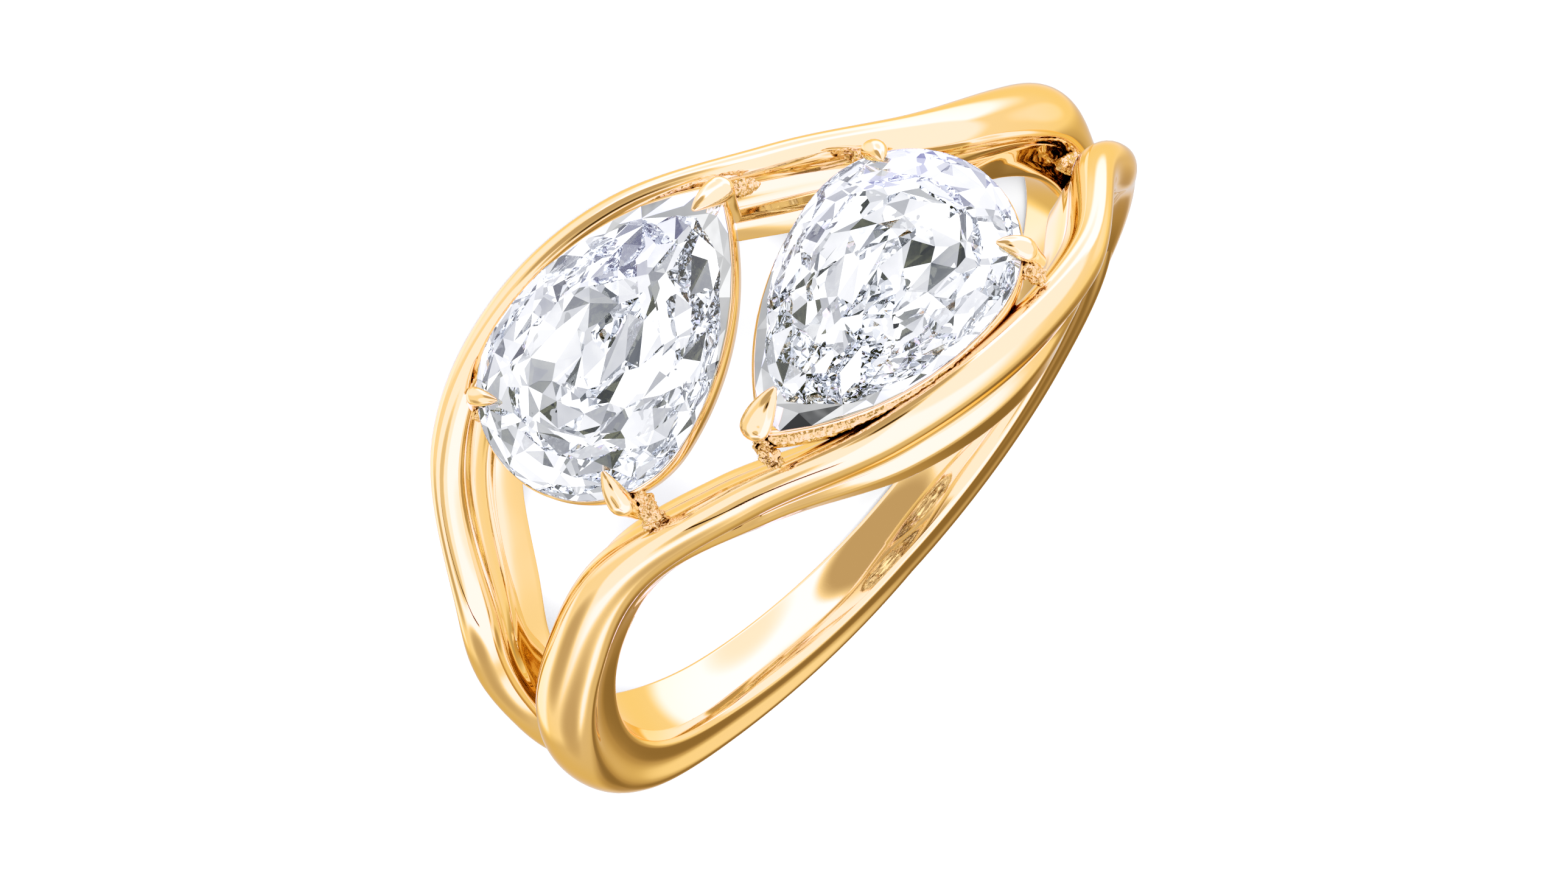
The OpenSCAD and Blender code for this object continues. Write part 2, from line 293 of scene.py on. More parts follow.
def pear_radius():
    """The radius of the pear's two long sides, which run into the round end without a corner."""
    return ((STONE_L - STONE_W / 2) ** 2 + (STONE_W / 2) ** 2) / STONE_W


def pear(s, d=0.0):
    """A point of the pear's outline, d outside it. s is 0 at the tip, 4 at the round end, 8 at the tip again."""
    s = s % 8
    r = pear_radius()
    h = r - STONE_W / 2
    tip = math.acos(h / (r + d))
    if 2 < s < 6:
        a = math.radians(90 + 45 * (s - 2))
        return np.array([math.cos(a), math.sin(a)]) * (STONE_W / 2 + d)
    side = tip * (1 - s / 2) if s <= 2 else tip * (s - 6) / 2
    return np.array([(r + d) * math.sin(side), (1 if s <= 2 else -1) * ((r + d) * math.cos(side) - h)])


def rail(name, hand):
    """The gallery: its outer wall stands under the girdle, and its inner wall leans in below the stone."""
    top = -GIRDLE_T / 2 - SEAT_DROP
    rings = []
    for s in np.linspace(0, 8, 3 * GIRDLE_STEPS, endpoint=False):
        # Out from the girdle, and height
        outline = [
            (0.015, top),
            (0.045, top - 0.04),
            (0.03, top - RAIL_H / 2),
            (-0.02, top - RAIL_H + 0.05),
            (-0.06, top - RAIL_H),
            (-0.36, top - RAIL_H),
            (-0.40, top - RAIL_H + 0.05),
            (-0.24, top - RAIL_H / 2),
            (-0.11, top - 0.03),
            (-0.07, top),
        ]
        rings.append([(*pear(s, d), z) for d, z in outline])
    obj = sweep(name, laid(on_head(rings, hand)), closed=True)
    shade(obj, 50)
    return obj


def solder_ledge(name, hand):
    """The tapering ledge of solder between the rail's point and the strand beside it."""
    # The left stone sits tight against its strand, so its ledge is lower and narrower
    drop, share = (0.55, 0.6) if hand == 1 else (0.10, 1)
    top = -GIRDLE_T / 2 - drop
    rings = []
    for s in np.linspace(0.06, LEDGE_END, 90):
        wide = float(LEDGE_W * smooth(s / 0.15) * smooth((LEDGE_END - s) / (LEDGE_END - 0.2))) * share
        outline = [
            (0.0, top - 0.02),
            (0.04 + wide * 0.35, top - wide * 0.10),
            (0.04 + wide * 0.75, top - wide * 0.35),
            (0.04 + wide, top - wide * 0.75),
            (0.03 + wide, top - 0.10 - wide),
            (0.0, top - 0.30 - wide),
            (-0.05, top - 0.20),
        ]
        rings.append([(*pear(s, d), z) for d, z in outline])
    obj = sweep(name, laid(on_head(rings, hand)))
    roughen(obj, size=0.00022, depth=0.00007)
    return obj


def roughen(obj, size, depth):
    """Freezes solder: divides the piece finely and pushes it in and out with clouds, and cells half their size."""
    apply_modifier(obj, "SUBSURF", levels=2, subdivision_type="SIMPLE")
    for share, kind in ((1.0, "CLOUDS"), (0.5, "VORONOI")):
        clouds = bpy.data.textures.new("frozen_solder", kind)
        clouds.noise_scale = size * share
        push = depth * share
        apply_modifier(obj, "DISPLACE", texture=clouds, texture_coords="LOCAL", mid_level=0.5, strength=push)
    shade(obj, 70)


def rod(name, s, path, hand):
    """A bent rod beside the girdle at s. Its rows: out from the girdle, along it, up, and half width."""
    path = np.array(path, float)
    tangent = np.gradient(path, axis=0)
    last = len(path) - 1
    rows = []
    for v in np.linspace(0, last, last * ROD_STEPS + 1):
        i = min(int(v), last - 1)
        rows.append(curve_between(v - i, 1, path[i], tangent[i], path[i + 1], tangent[i + 1]))
    rows = np.array(rows)
    p = pear(s)
    o = pear(s, 1) - p
    along = np.array([-o[1], o[0]])
    step = np.gradient(rows, axis=0)
    rings = []
    for q, d in zip(rows, step):
        run = np.array([d[0], d[2]])
        run /= np.linalg.norm(run)
        ring = []
        for k in range(ROD_SIDES):
            a = math.radians(90 + 360 * k / ROD_SIDES)
            wide = q[1] + q[3] * math.cos(a)
            thick = q[3] * CLAW_FLAT * math.sin(a)
            out = q[0] - run[1] * thick
            xy = p + o * out + along * wide
            ring.append((xy[0], xy[1], q[2] + run[0] * thick))
        rings.append(ring)
    obj = sweep(name, laid(on_head(rings, hand)))
    shade(obj, 60)
    return obj


def claw(name, s, tip, body, root, width, hand):
    """A bent claw, filed to a drop. tip, body and root are out from the girdle at s, along it and up."""
    tip, body, root = (np.array(p, float) for p in (tip, body, root))
    foot = ((0, 0.7), (0.35, 0.78), (0.72, 0.92))
    rows = [(*mix(root, body, t), width * wide) for t, wide in foot]
    for t, wide in CLAW_FILED:
        belly = CLAW_BELLY * math.sin(math.pi * t) ** 0.8
        p = mix(body, tip, t) + np.array([0.35, 0, 0.75]) * belly * width
        rows.append((*p, width * wide))
    return rod(name, s, rows, hand)


# Each claw was bent and filed by hand: where it is on the girdle, its tip, its body and its root, and its
# half width, for the left stone and then for the right one
CLAWS = {
    1: [
        (0, (-0.70, -0.04, 0.86), (-0.03, -0.12, 0.14), (-0.36, -0.32, -1.0), 0.28),
        (2.85, (-0.63, 0.14, 0.42), (0.06, -0.08, 0.0), (0.30, 0.0, -0.9), 0.24),
        (5.135, (-0.61, -0.13, 0.56), (0.24, -0.03, 0.02), (0.34, 0.1, -0.95), 0.31),
    ],
    -1: [
        (0, (-0.72, -0.13, 0.86), (0.03, -0.14, 0.14), (-0.30, -0.30, -1.0), 0.32),
        (2.85, (-0.62, -0.06, 0.42), (0.10, -0.10, 0.0), (0.34, 0.0, -0.9), 0.31),
        (5.135, (-0.50, 0.0, 0.56), (0.09, 0.12, 0.10), (0.40, 0.1, -0.95), 0.32),
    ],
}
# Lumps of solder: where on the girdle, and a path out from it, along it and up with half widths
SOLDER = {
    1: [
        (
            0,
            [(0.02, -0.20, -0.25, 0.10), (0.14, -0.28, -0.50, 0.15), (0.26, -0.30, -0.75, 0.16)]
            + [(0.36, -0.30, -1.10, 0.12)],
        ),
        (
            5.12,
            [(-0.04, 0.30, -0.25, 0.16), (0.18, 0.36, -0.50, 0.24), (0.50, 0.44, -0.85, 0.28)]
            + [(0.74, 0.45, -1.20, 0.26)],
        ),
        (2.85, [(-0.04, 0.26, -0.20, 0.08), (0.05, 0.30, -0.45, 0.12), (0.20, 0.26, -0.75, 0.14)]),
    ],
    -1: [
        (
            0,
            [(0.0, -0.12, -0.28, 0.14), (0.10, 0.05, -0.42, 0.22), (0.20, 0.22, -0.52, 0.26)]
            + [(0.22, 0.42, -0.50, 0.16)],
        ),
        (
            5.12,
            [(-0.06, 0.36, -0.20, 0.12), (0.10, 0.42, -0.45, 0.17), (0.35, 0.48, -0.75, 0.20)]
            + [(0.60, 0.48, -1.15, 0.20)],
        ),
        (2.85, [(-0.02, -0.40, -0.25, 0.12), (0.14, -0.44, -0.50, 0.20), (0.36, -0.46, -0.80, 0.22)]),
    ],
}

# The lump that fills the fork at the right shoulder: degrees round the ring, radius, side and half width
FORK = [
    (2, 9.5, -0.40, 0.08),
    (7, 9.4, -0.50, 0.22),
    (12, 9.35, -0.62, 0.26),
    (17, 9.3, -0.78, 0.20),
    (21, 9.3, -0.90, 0.08),
]


def fork_solder(name):
    """The lump of solder along the fork's path, round in section."""
    rings = []
    for v in np.linspace(0, len(FORK) - 1, 25):
        i = min(int(v), len(FORK) - 2)
        angle, r, y, wide = mix(np.array(FORK[i], float), np.array(FORK[i + 1], float), smooth(v - i))
        a = math.radians(angle)
        out = np.array([math.cos(a), 0, math.sin(a)])
        side = np.array([0, 1, 0])
        middle = out * r + [0, y, 0]
        round_it = np.arange(16) * math.pi / 8
        rings.append([middle + wide * (math.cos(b) * out + math.sin(b) * side) for b in round_it])
    obj = sweep(name, laid(rings))
    roughen(obj, size=0.00022, depth=0.00018)
    return obj


# ---------------------------------------------------------------- stones


def cut(point, normal):
    """One facet: everything outside the plane goes, and the cut is closed."""
    bpy.ops.mesh.select_all(action="SELECT")
    bpy.ops.mesh.bisect(plane_co=point, plane_no=normal, use_fill=True, clear_outer=True, threshold=1e-7)


def tangent_plane(s, z, inner):
    """The plane through the outline's tangent at s, at height z, and through the point inner."""
    p = pear(s)
    o = pear(s, 1) - p
    t = np.array([-o[1], o[0], 0.0])
    point = np.array([p[0], p[1], z])
    normal = np.cross(t, np.asarray(inner) - point)
    if normal[:2] @ o < 0:
        normal = -normal
    return point, normal / np.linalg.norm(normal)


def inner_point(s, share, z):
    """The point at height z on the way from the keel to the girdle at s, at this share of it."""
    p = pear(s)
    return np.array([KEEL + (p[0] - KEEL) * share, p[1] * share, z])


def stone(name, hand):
    """A pear prism, cut facet by facet as a cutter does."""
    top = GIRDLE_T / 2
    outline = [pear(s) for s in np.linspace(0, 8, GIRDLE_STEPS, endpoint=False)]
    deselect()
    bpy.ops.mesh.primitive_circle_add(vertices=GIRDLE_STEPS, radius=1, fill_type="NGON")
    obj = bpy.context.object
    obj.name = obj.data.name = name
    bottom = -top - PAVILION_D - 0.05
    obj.data.vertices.foreach_set("co", np.array([(x, y, bottom) for x, y in outline]).reshape(-1))
    bpy.ops.object.mode_set(mode="EDIT")
    bpy.ops.mesh.select_all(action="SELECT")
    bpy.ops.mesh.extrude_region_move(TRANSFORM_OT_translate={"value": (0, 0, CROWN_H + top - bottom)})
    bpy.ops.mesh.select_all(action="SELECT")
    bpy.ops.mesh.normals_make_consistent(inside=False)

    def crown(s, share, rise):
        """A facet through the girdle's tangent at s and a point part of the way to the table and up."""
        cut(*tangent_plane(s, top, inner_point(s, share, top + CROWN_H * rise)))

    def pavilion(s, share, fall):
        """A facet through the girdle's tangent at s and a point part of the way to the keel and down."""
        cut(*tangent_plane(s, -top, inner_point(s, share, -top - PAVILION_D * fall)))

    def belly(s, share, fall, steeper):
        """A facet of an inner tier: it turns in from the point at this share and fall, at its own slope."""
        p, o = pear(s), pear(s, 1) - pear(s)
        a = inner_point(s, share, -top - PAVILION_D * fall)
        run = (p - np.array([KEEL, 0])) @ o * share
        normal = np.array([*(o * (1 - fall) * PAVILION_D * steeper), -run])
        cut(a, normal / np.linalg.norm(normal))

    for k in range(8):
        crown(k, TABLE_SHARE, 1)
    for k in range(8):
        crown(k + 0.5, mix(TABLE_SHARE, 1, 0.3), 0.8)
    for k in range(16):
        crown(k / 2 + 0.25, mix(TABLE_SHARE, 1, 0.55), 0.56)
    # The pavilion was cut a little unevenly: each facet is turned by a hair of its own. Mains come first,
    # then two tiers under the girdle and last the inner tier round the keel
    for k in range(PAVILION_MAINS):
        s = 8 * k / PAVILION_MAINS
        pavilion(s + 0.03 * math.sin(7 * k), 0.0, 1.0)
    for k in range(2 * PAVILION_MAINS):
        s = 8 * (k + 0.5) / (2 * PAVILION_MAINS)
        pavilion(s + 0.05 * math.sin(5 * k + 1), 0.30, 0.745 + 0.02 * math.sin(3 * k))
    for k in range(2 * PAVILION_MAINS):
        s = 8 * k / (2 * PAVILION_MAINS) + 0.11
        pavilion(s + 0.04 * math.sin(9 * k + 2), 0.62, 0.42 + 0.012 * math.sin(4 * k))
    for k in range(PAVILION_MAINS):
        s = 8 * (k + 0.5) / PAVILION_MAINS
        belly(s + 0.06 * math.sin(6 * k), 0.22, 0.80, 0.75 + 0.1 * math.sin(8 * k))
    bpy.ops.object.mode_set(mode="OBJECT")
    co = np.empty(len(obj.data.vertices) * 3)
    obj.data.vertices.foreach_get("co", co)
    obj.data.vertices.foreach_set("co", laid(on_head(co.reshape(-1, 3), hand)).reshape(-1))
    obj.data.update()
    bpy.ops.object.mode_set(mode="EDIT")
    bpy.ops.mesh.select_all(action="SELECT")
    bpy.ops.mesh.normals_make_consistent(inside=False)
    bpy.ops.object.mode_set(mode="OBJECT")
    return obj


def evenly(t):
    """The pear's s after the share t of its way round, measured along the outline."""
    side = pear_radius() * math.acos((pear_radius() - STONE_W / 2) / pear_radius())
    way = t % 1 * (2 * side + math.pi * STONE_W / 2)
    if way < side:
        return 2 * way / side
    if way > side + math.pi * STONE_W / 2:
        return 6 + 2 * (way - side - math.pi * STONE_W / 2) / side
    return 2 + 4 * (way - side) / (math.pi * STONE_W / 2)


def fire(name, hand):
    """The crushed-ice sparkle: a crumpled mirror of small shards that lines the stone's pavilion."""
    rng = np.random.default_rng(FIRE_SEED)
    rings = []
    # The crumpled side first, and then the plain underside that closes it
    for under in (0, 1):
        free = 0.0 if under else 1.0
        for share in FIRE_ROWS[::-1] if under else FIRE_ROWS:
            ring = []
            i = FIRE_ROWS.index(share)
            rim = i == len(FIRE_ROWS) - 1
            # Towards the eye the shards join two by two and then four by four
            join = 4 if share < 0.3 else 2 if share < 0.55 else 1
            for k in range(FIRE_ROUND):
                if k % join:
                    ring.append(ring[-1])
                    continue
                shift = 0.5 * join * ((i + 1) % 2)
                stray = FIRE_STRAY * join * free * (not rim) * rng.uniform(-1, 1)
                s = evenly((k + shift + stray) / FIRE_ROUND)
                sway = 0 if rim else FIRE_SWAY if share < 0.85 else FIRE_SWAY_NEAR_RIM
                near = share + sway * free * rng.uniform(-1, 1)
                x, y = pear(s)
                room = min(1, (1 - near) / FIRE_SLOPE)
                z = FIRE_RIM + FIRE_DOME * room - FIRE_THICK * under
                z += FIRE_CRUMPLE * math.hypot(x - FIRE_EYE, y) * free * rng.uniform(-1, 1) * mix(0.7, 1, room)
                z = min(z, GIRDLE_T / 2 + CROWN_H * room - FIRE_CLEAR)
                ring.append((FIRE_EYE + (x - FIRE_EYE) * near, y * near, z))
            rings.append(ring)
    obj = sweep(name, laid(on_head(rings, hand)))
    pick(obj)
    bpy.ops.object.mode_set(mode="EDIT")
    bpy.ops.mesh.select_all(action="SELECT")
    bpy.ops.mesh.quads_convert_to_tris(quad_method="SHORTEST_DIAGONAL")
    bpy.ops.object.mode_set(mode="OBJECT")
    return obj


# ---------------------------------------------------------------- materials


def material(name):
    """A new material with its node tree and its Principled BSDF."""
    m = bpy.data.materials.new(name)
    m.use_nodes = True
    return m, m.node_tree, m.node_tree.nodes["Principled BSDF"]


def node(tree, kind, **inputs):
    """A new node. What is given names its sockets, or else its settings."""
    n = tree.nodes.new(kind)
    for key, value in inputs.items():
        if key in n.inputs:
            n.inputs[key].default_value = value
        else:
            setattr(n, key, value)
    return n


def group(name, ins, outs):
    """A shared effect: its name, and its sockets as (name, kind, default)."""
    tree = bpy.data.node_groups.new(name, "ShaderNodeTree")
    for label, kind, value in ins:
        socket = tree.interface.new_socket(name=label, in_out="INPUT", socket_type=kind)
        if value is not None:
            socket.default_value = value
    for label, kind in outs:
        tree.interface.new_socket(name=label, in_out="OUTPUT", socket_type=kind)
    return tree, tree.nodes.new("NodeGroupInput"), tree.nodes.new("NodeGroupOutput")


def use(tree, shared, **inputs):
    """A shared effect placed in a material with its own values."""
    n = tree.nodes.new("ShaderNodeGroup")
    n.node_tree = shared
    for key, value in inputs.items():
        n.inputs[key].default_value = value
    return n


# Painted shade: the colour darkens towards a dark shade colour where ambient occlusion finds the narrow gaps
# between strands, claws and stones
crevice_shade, into, out = group(
    "painted_crevice_shade",
    [("Colour", "NodeSocketColor", None), ("Grime", "NodeSocketColor", None), ("Reach", "NodeSocketFloat", 0.0002)],
    [("Colour", "NodeSocketColor")],
)
# Painted shade: where ambient occlusion finds a narrow gap, the colour is mixed towards the dark colour given for
# it
shut_in = node(crevice_shade, "ShaderNodeAmbientOcclusion", samples=8)
depth = node(crevice_shade, "ShaderNodeMapRange", interpolation_type="SMOOTHSTEP")
depth.inputs["From Min"].default_value = 0.08
depth.inputs["From Max"].default_value = 0.62
blend = node(crevice_shade, "ShaderNodeMix", data_type="RGBA")
crevice_shade.links.new(into.outputs["Reach"], shut_in.inputs["Distance"])
crevice_shade.links.new(shut_in.outputs["AO"], depth.inputs["Value"])
crevice_shade.links.new(depth.outputs["Result"], blend.inputs[0])
crevice_shade.links.new(into.outputs["Grime"], blend.inputs[6])
crevice_shade.links.new(into.outputs["Colour"], blend.inputs[7])
crevice_shade.links.new(blend.outputs[2], out.inputs["Colour"])

# Fine marks of wear: short hairlines in two directions and a slow wandering of the polish
wear, into, out = group(
    "polish_marks",
    [("Low", "NodeSocketFloat", 0.03), ("High", "NodeSocketFloat", 0.07), ("Depth", "NodeSocketFloat", 0.02)],
    [("Roughness", "NodeSocketFloat"), ("Normal", "NodeSocketVector")],
)
# How much rougher a hairline is than the polish round it
SCUFF = 0.03
coords = node(wear, "ShaderNodeTexCoord")
slow = node(wear, "ShaderNodeTexNoise", Scale=260.0, Detail=3.0)
wear.links.new(coords.outputs["Object"], slow.inputs["Vector"])
ways = []
for turned in (0.5, 2.1):
    grain = node(wear, "ShaderNodeMapping")
    grain.inputs["Rotation"].default_value = (0.3, turned, turned * 1.7)
    grain.inputs["Scale"].default_value = (14000, 900, 14000)
    lines = node(wear, "ShaderNodeTexNoise", Scale=1.0, Detail=2.0)
    sharp = node(wear, "ShaderNodeMapRange")
    sharp.inputs["From Min"].default_value = 0.62
    sharp.inputs["From Max"].default_value = 0.80
    wear.links.new(coords.outputs["Object"], grain.inputs["Vector"])
    wear.links.new(grain.outputs["Vector"], lines.inputs["Vector"])
    wear.links.new(lines.outputs["Fac"], sharp.inputs["Value"])
    ways.append(sharp.outputs["Result"])
both = node(wear, "ShaderNodeMath", operation="MAXIMUM")
wear.links.new(ways[0], both.inputs[0])
wear.links.new(ways[1], both.inputs[1])
marks = both.outputs[0]
spread = node(wear, "ShaderNodeMapRange")
wear.links.new(slow.outputs["Fac"], spread.inputs["Value"])
wear.links.new(into.outputs["Low"], spread.inputs["To Min"])
wear.links.new(into.outputs["High"], spread.inputs["To Max"])
scuffed = node(wear, "ShaderNodeMath", operation="MULTIPLY_ADD")
wear.links.new(marks, scuffed.inputs[0])
scuffed.inputs[1].default_value = SCUFF
wear.links.new(spread.outputs["Result"], scuffed.inputs[2])
wear.links.new(scuffed.outputs[0], out.inputs["Roughness"])
height = node(wear, "ShaderNodeBump", Distance=0.00001)
height.invert = True
wear.links.new(into.outputs["Depth"], height.inputs["Strength"])
wear.links.new(marks, height.inputs["Height"])
wear.links.new(height.outputs["Normal"], out.inputs["Normal"])

GOLD = (1.0, 0.52, 0.172, 1)
# Gold seen in gold is paler than it is by itself, as it is in the photograph's crevices
GOLD_IN_GOLD = (0.86, 0.78, 0.58, 1)


def gold(name, low, high, depth, shade_colour, reach, colour=GOLD):
    """Gold with roughness from low to high, marks this deep, and painted shade in gaps up to reach metres wide."""
    m, tree, bsdf = material(name)
    link = tree.links.new
    ray = node(tree, "ShaderNodeLightPath")
    tint = node(tree, "ShaderNodeMix", data_type="RGBA")
    tint.inputs[6].default_value = colour
    tint.inputs[7].default_value = GOLD_IN_GOLD
    link(ray.outputs["Is Glossy Ray"], tint.inputs[0])
    # Painted shade in the narrow gaps, darkening the gold towards the given dark colour
    gap = use(tree, crevice_shade, Grime=shade_colour, Reach=reach)
    link(tint.outputs[2], gap.inputs["Colour"])
    link(gap.outputs["Colour"], bsdf.inputs["Base Color"])
    marks = use(tree, wear, Low=low, High=high, Depth=depth)
    link(marks.outputs["Roughness"], bsdf.inputs["Roughness"])
    link(marks.outputs["Normal"], bsdf.inputs["Normal"])
    bsdf.inputs["Metallic"].default_value = 1.0
    bsdf.inputs["Specular Tint"].default_value = (1.0, 0.72, 0.4, 1)
    return m, tree, bsdf, marks


# The dark brown given here is painted shade in the narrow gaps round claws, strands and stones
polished, *_ = gold("polished_gold", 0.025, 0.06, depth=0.012, shade_colour=(0.20, 0.085, 0.025, 1), reach=0.00022)

# Solder left as it froze: grains and pits over the same gold
SOLDER_GOLD = (0.72, 0.37, 0.095, 1)
# The near black given here is painted shade in the solder's pits and the gaps round it
grainy, tree, bsdf, marks = gold(
    "grainy_solder", 0.06, 0.16, depth=0.1, shade_colour=(0.05, 0.020, 0.005, 1), reach=0.00040, colour=SOLDER_GOLD
)
coords = node(tree, "ShaderNodeTexCoord")
grains = node(tree, "ShaderNodeTexVoronoi", Scale=9000.0, feature="SMOOTH_F1")
lumps = node(tree, "ShaderNodeTexNoise", Scale=3500.0, Detail=3.0)
both = node(tree, "ShaderNodeMath", operation="MULTIPLY_ADD")
both.inputs[1].default_value = 0.6
height = node(tree, "ShaderNodeBump", Strength=0.6, Distance=0.00004)
tree.links.new(coords.outputs["Object"], grains.inputs["Vector"])
tree.links.new(coords.outputs["Object"], lumps.inputs["Vector"])
tree.links.new(grains.outputs["Distance"], both.inputs[0])
tree.links.new(lumps.outputs["Fac"], both.inputs[2])
tree.links.new(both.outputs[0], height.inputs["Height"])
tree.links.new(marks.outputs["Normal"], height.inputs["Normal"])
tree.links.new(height.outputs["Normal"], bsdf.inputs["Normal"])

diamond, _, bsdf = material("diamond")
bsdf.inputs["Base Color"].default_value = (0.985, 0.99, 1.0, 1)
bsdf.inputs["Roughness"].default_value = 0.0
bsdf.inputs["IOR"].default_value = 1.9
bsdf.inputs["Transmission Weight"].default_value = 1.0
bsdf.inputs["Specular Tint"].default_value = (0.36, 0.36, 0.18, 1)

# The stones' inner mirror: faint veils and feathers dull it here and there and bend what it shows
mirror, tree, bsdf = material("mirror_back")
coords = node(tree, "ShaderNodeTexCoord")
veils = node(tree, "ShaderNodeTexNoise", Scale=1100.0, Detail=2.0, Roughness=0.5)
veil = node(tree, "ShaderNodeMapRange")
veil.inputs["From Min"].default_value = 0.40
veil.inputs["From Max"].default_value = 0.68
tone = node(tree, "ShaderNodeMix", data_type="RGBA")
tone.inputs[6].default_value = (0.97, 0.98, 1.0, 1)
tone.inputs[7].default_value = (0.74, 0.76, 0.80, 1)
bend = node(tree, "ShaderNodeBump", Strength=0.16, Distance=0.00003)
tree.links.new(coords.outputs["Object"], veils.inputs["Vector"])
tree.links.new(veils.outputs["Fac"], veil.inputs["Value"])
tree.links.new(veil.outputs["Result"], tone.inputs[0])
tree.links.new(tone.outputs[2], bsdf.inputs["Base Color"])
tree.links.new(veils.outputs["Fac"], bend.inputs["Height"])
tree.links.new(bend.outputs["Normal"], bsdf.inputs["Normal"])
bsdf.inputs["Roughness"].default_value = 0.0
bsdf.inputs["Metallic"].default_value = 1.0


def finish_piece(obj, mat, made_of):
    """A finished piece's material and its body; the part's node that it stands for is hidden."""
    obj.data.materials.append(mat)
    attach(obj, "root")
    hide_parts(made_of)


for twin, name in enumerate(("strand_front", "strand_back")):
    piece = strand(name, twin)
    finish_piece(piece, polished, "band")
    # The stones stay colourless beside the strands
    piece.visible_transmission = False
for hand, side in ((1, "left"), (-1, "right")):
    finish_piece(stone("cut_stone_" + side, hand), diamond, "stone_" + side)
    finish_piece(fire("fire_" + side, hand), mirror, "stone_" + side)
    finish_piece(rail("rail_" + side, hand), polished, "band")
    finish_piece(solder_ledge("solder_ledge_" + side, hand), grainy, "band")
    for i, (s, tip, body, root, width) in enumerate(CLAWS[hand]):
        piece = claw("claw_%s_%d" % (side, i), s, tip, body, root, width, hand)
        finish_piece(piece, polished, "band")
    for i, (s, path) in enumerate(SOLDER[hand]):
        piece = rod("solder_%s_%d" % (side, i), s, path, hand)
        roughen(piece, size=0.00026, depth=0.00030)
        finish_piece(piece, grainy, "band")

finish_piece(fork_solder("solder_fork"), grainy, "band")

# ---------------------------------------------------------------- floor, light and camera

floor_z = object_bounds()[0][2]
deselect()
bpy.ops.mesh.primitive_circle_add(vertices=96, radius=0.35, fill_type="NGON", location=(0, 0, floor_z))
floor = bpy.context.object
floor.name = "floor"
pale, _, bsdf = material("pale_floor")
bsdf.inputs["Base Color"].default_value = (0.9, 0.9, 0.9, 1)
bsdf.inputs["Roughness"].default_value = 0.6
floor.data.materials.append(pale)

# The photograph's view, found from the stones' and strands' outlines: it looks down on the head. Angles
# are in degrees, SCALE is its pixels to a millimetre, ORIGIN the pixel where the ring's middle is, and
# DISTANCE is in millimetres
AZIMUTH, ELEVATION, ROLL = -17.85, 70.60, 31.61
SCALE, ORIGIN_X, ORIGIN_Y, DISTANCE = 66.252, 1353.4, 731.8, 500.0
WIDTH, HEIGHT, SENSOR = 2576, 1449, 36.0

az, el, roll = (math.radians(a) for a in (AZIMUTH, ELEVATION, ROLL))
towards = np.array([math.sin(az) * math.cos(el), -math.cos(az) * math.cos(el), math.sin(el)])
right = np.cross(-towards, [0, 0, 1])
right /= np.linalg.norm(right)
down = np.cross(-towards, right)
right, down = math.cos(roll) * right + math.sin(roll) * down, -math.sin(roll) * right + math.cos(roll) * down
focal = SCALE * DISTANCE
shift = np.array([(ORIGIN_X - WIDTH / 2) / focal, (ORIGIN_Y - HEIGHT / 2) / focal, 1.0]) * DISTANCE
basis = np.stack([right, down, -towards])
place = laid(-basis.T @ shift)
axes = np.stack([LAID @ right, LAID @ -down, LAID @ towards], 1)

camera_data = bpy.data.cameras.new("camera")
camera_data.sensor_width = SENSOR
camera_data.sensor_fit = "HORIZONTAL"
camera_data.lens = focal / WIDTH * SENSOR
camera_data.clip_start = 0.01
camera_data.clip_end = 10
camera = bpy.data.objects.new("camera", camera_data)
bpy.context.scene.collection.objects.link(camera)
camera.matrix_world = Matrix.Translation(place) @ Matrix(axes.tolist()).to_4x4()
bpy.context.scene.camera = camera

# A soft square box on the camera's axis that washes the floor alone
WASH_FAR, WASH_SIDE, WASH_WATTS = 0.7, 0.12, 15.0
data = bpy.data.lights.new("floor_wash", "AREA")
data.shape = "RECTANGLE"
data.size = data.size_y = WASH_SIDE
data.energy = WASH_WATTS
wash = bpy.data.objects.new("floor_wash", data)
bpy.context.scene.collection.objects.link(wash)
wash.location = tuple(LAID @ towards * WASH_FAR)
wash.rotation_euler = (-wash.location).to_track_quat("-Z", "Y").to_euler()
wash.visible_glossy = wash.visible_transmission = False

# The studio round the ring, in stops of radiance. Each round box or flag is laid over those before it:
# azimuth, elevation, half width and softness of its edge, all in degrees, and its stops
STUDIO_BASE = -0.06
STUDIO = [
    (-154, -28, 47, 5, 1.0),
    (-12, 68, 63, 14, 0.85),
    (52, -48, 25, 5, 0.72),
    (-39, 24, 44, 3, 0.50),
    (83, -6, 36, 4, -0.80),
    (96, 0, 13, 10, -2.0),
    (-87, 28, 15, 3, -1.25),
    (-93, -12, 25, 5, -1.45),
    (-157, 40, 46, 5, 0.55),
    (-14, 36, 15, 4, -0.64),
    (-150, -39, 13, 9, 0.46),
    (44, 19, 13, 10, -1.36),
    (-60, -72, 28, 8, 0.46),
    (13, -14, 11, 10, -1.36),
    (140, -2, 12, 4, 0.22),
    (97, 5, 8, 5, -2.7),
    (-86, 31.5, 7, 2, -5.0),
    (94, -32, 12, 6, -0.7),
]
# Narrow dark cards: azimuth and elevation of both ends, half width and stops
CARDS = [
    ((-18, 22), (1, 42), 1.4, -6.5),
    ((-1, 42), (38, 51), 1.4, -6.5),
]

# How much bluer a box is for each unit of radiance above white, and what share of the studio the floor loses
GLARE_BLUE, FLOOR_LOSS = 1.8, 0.45
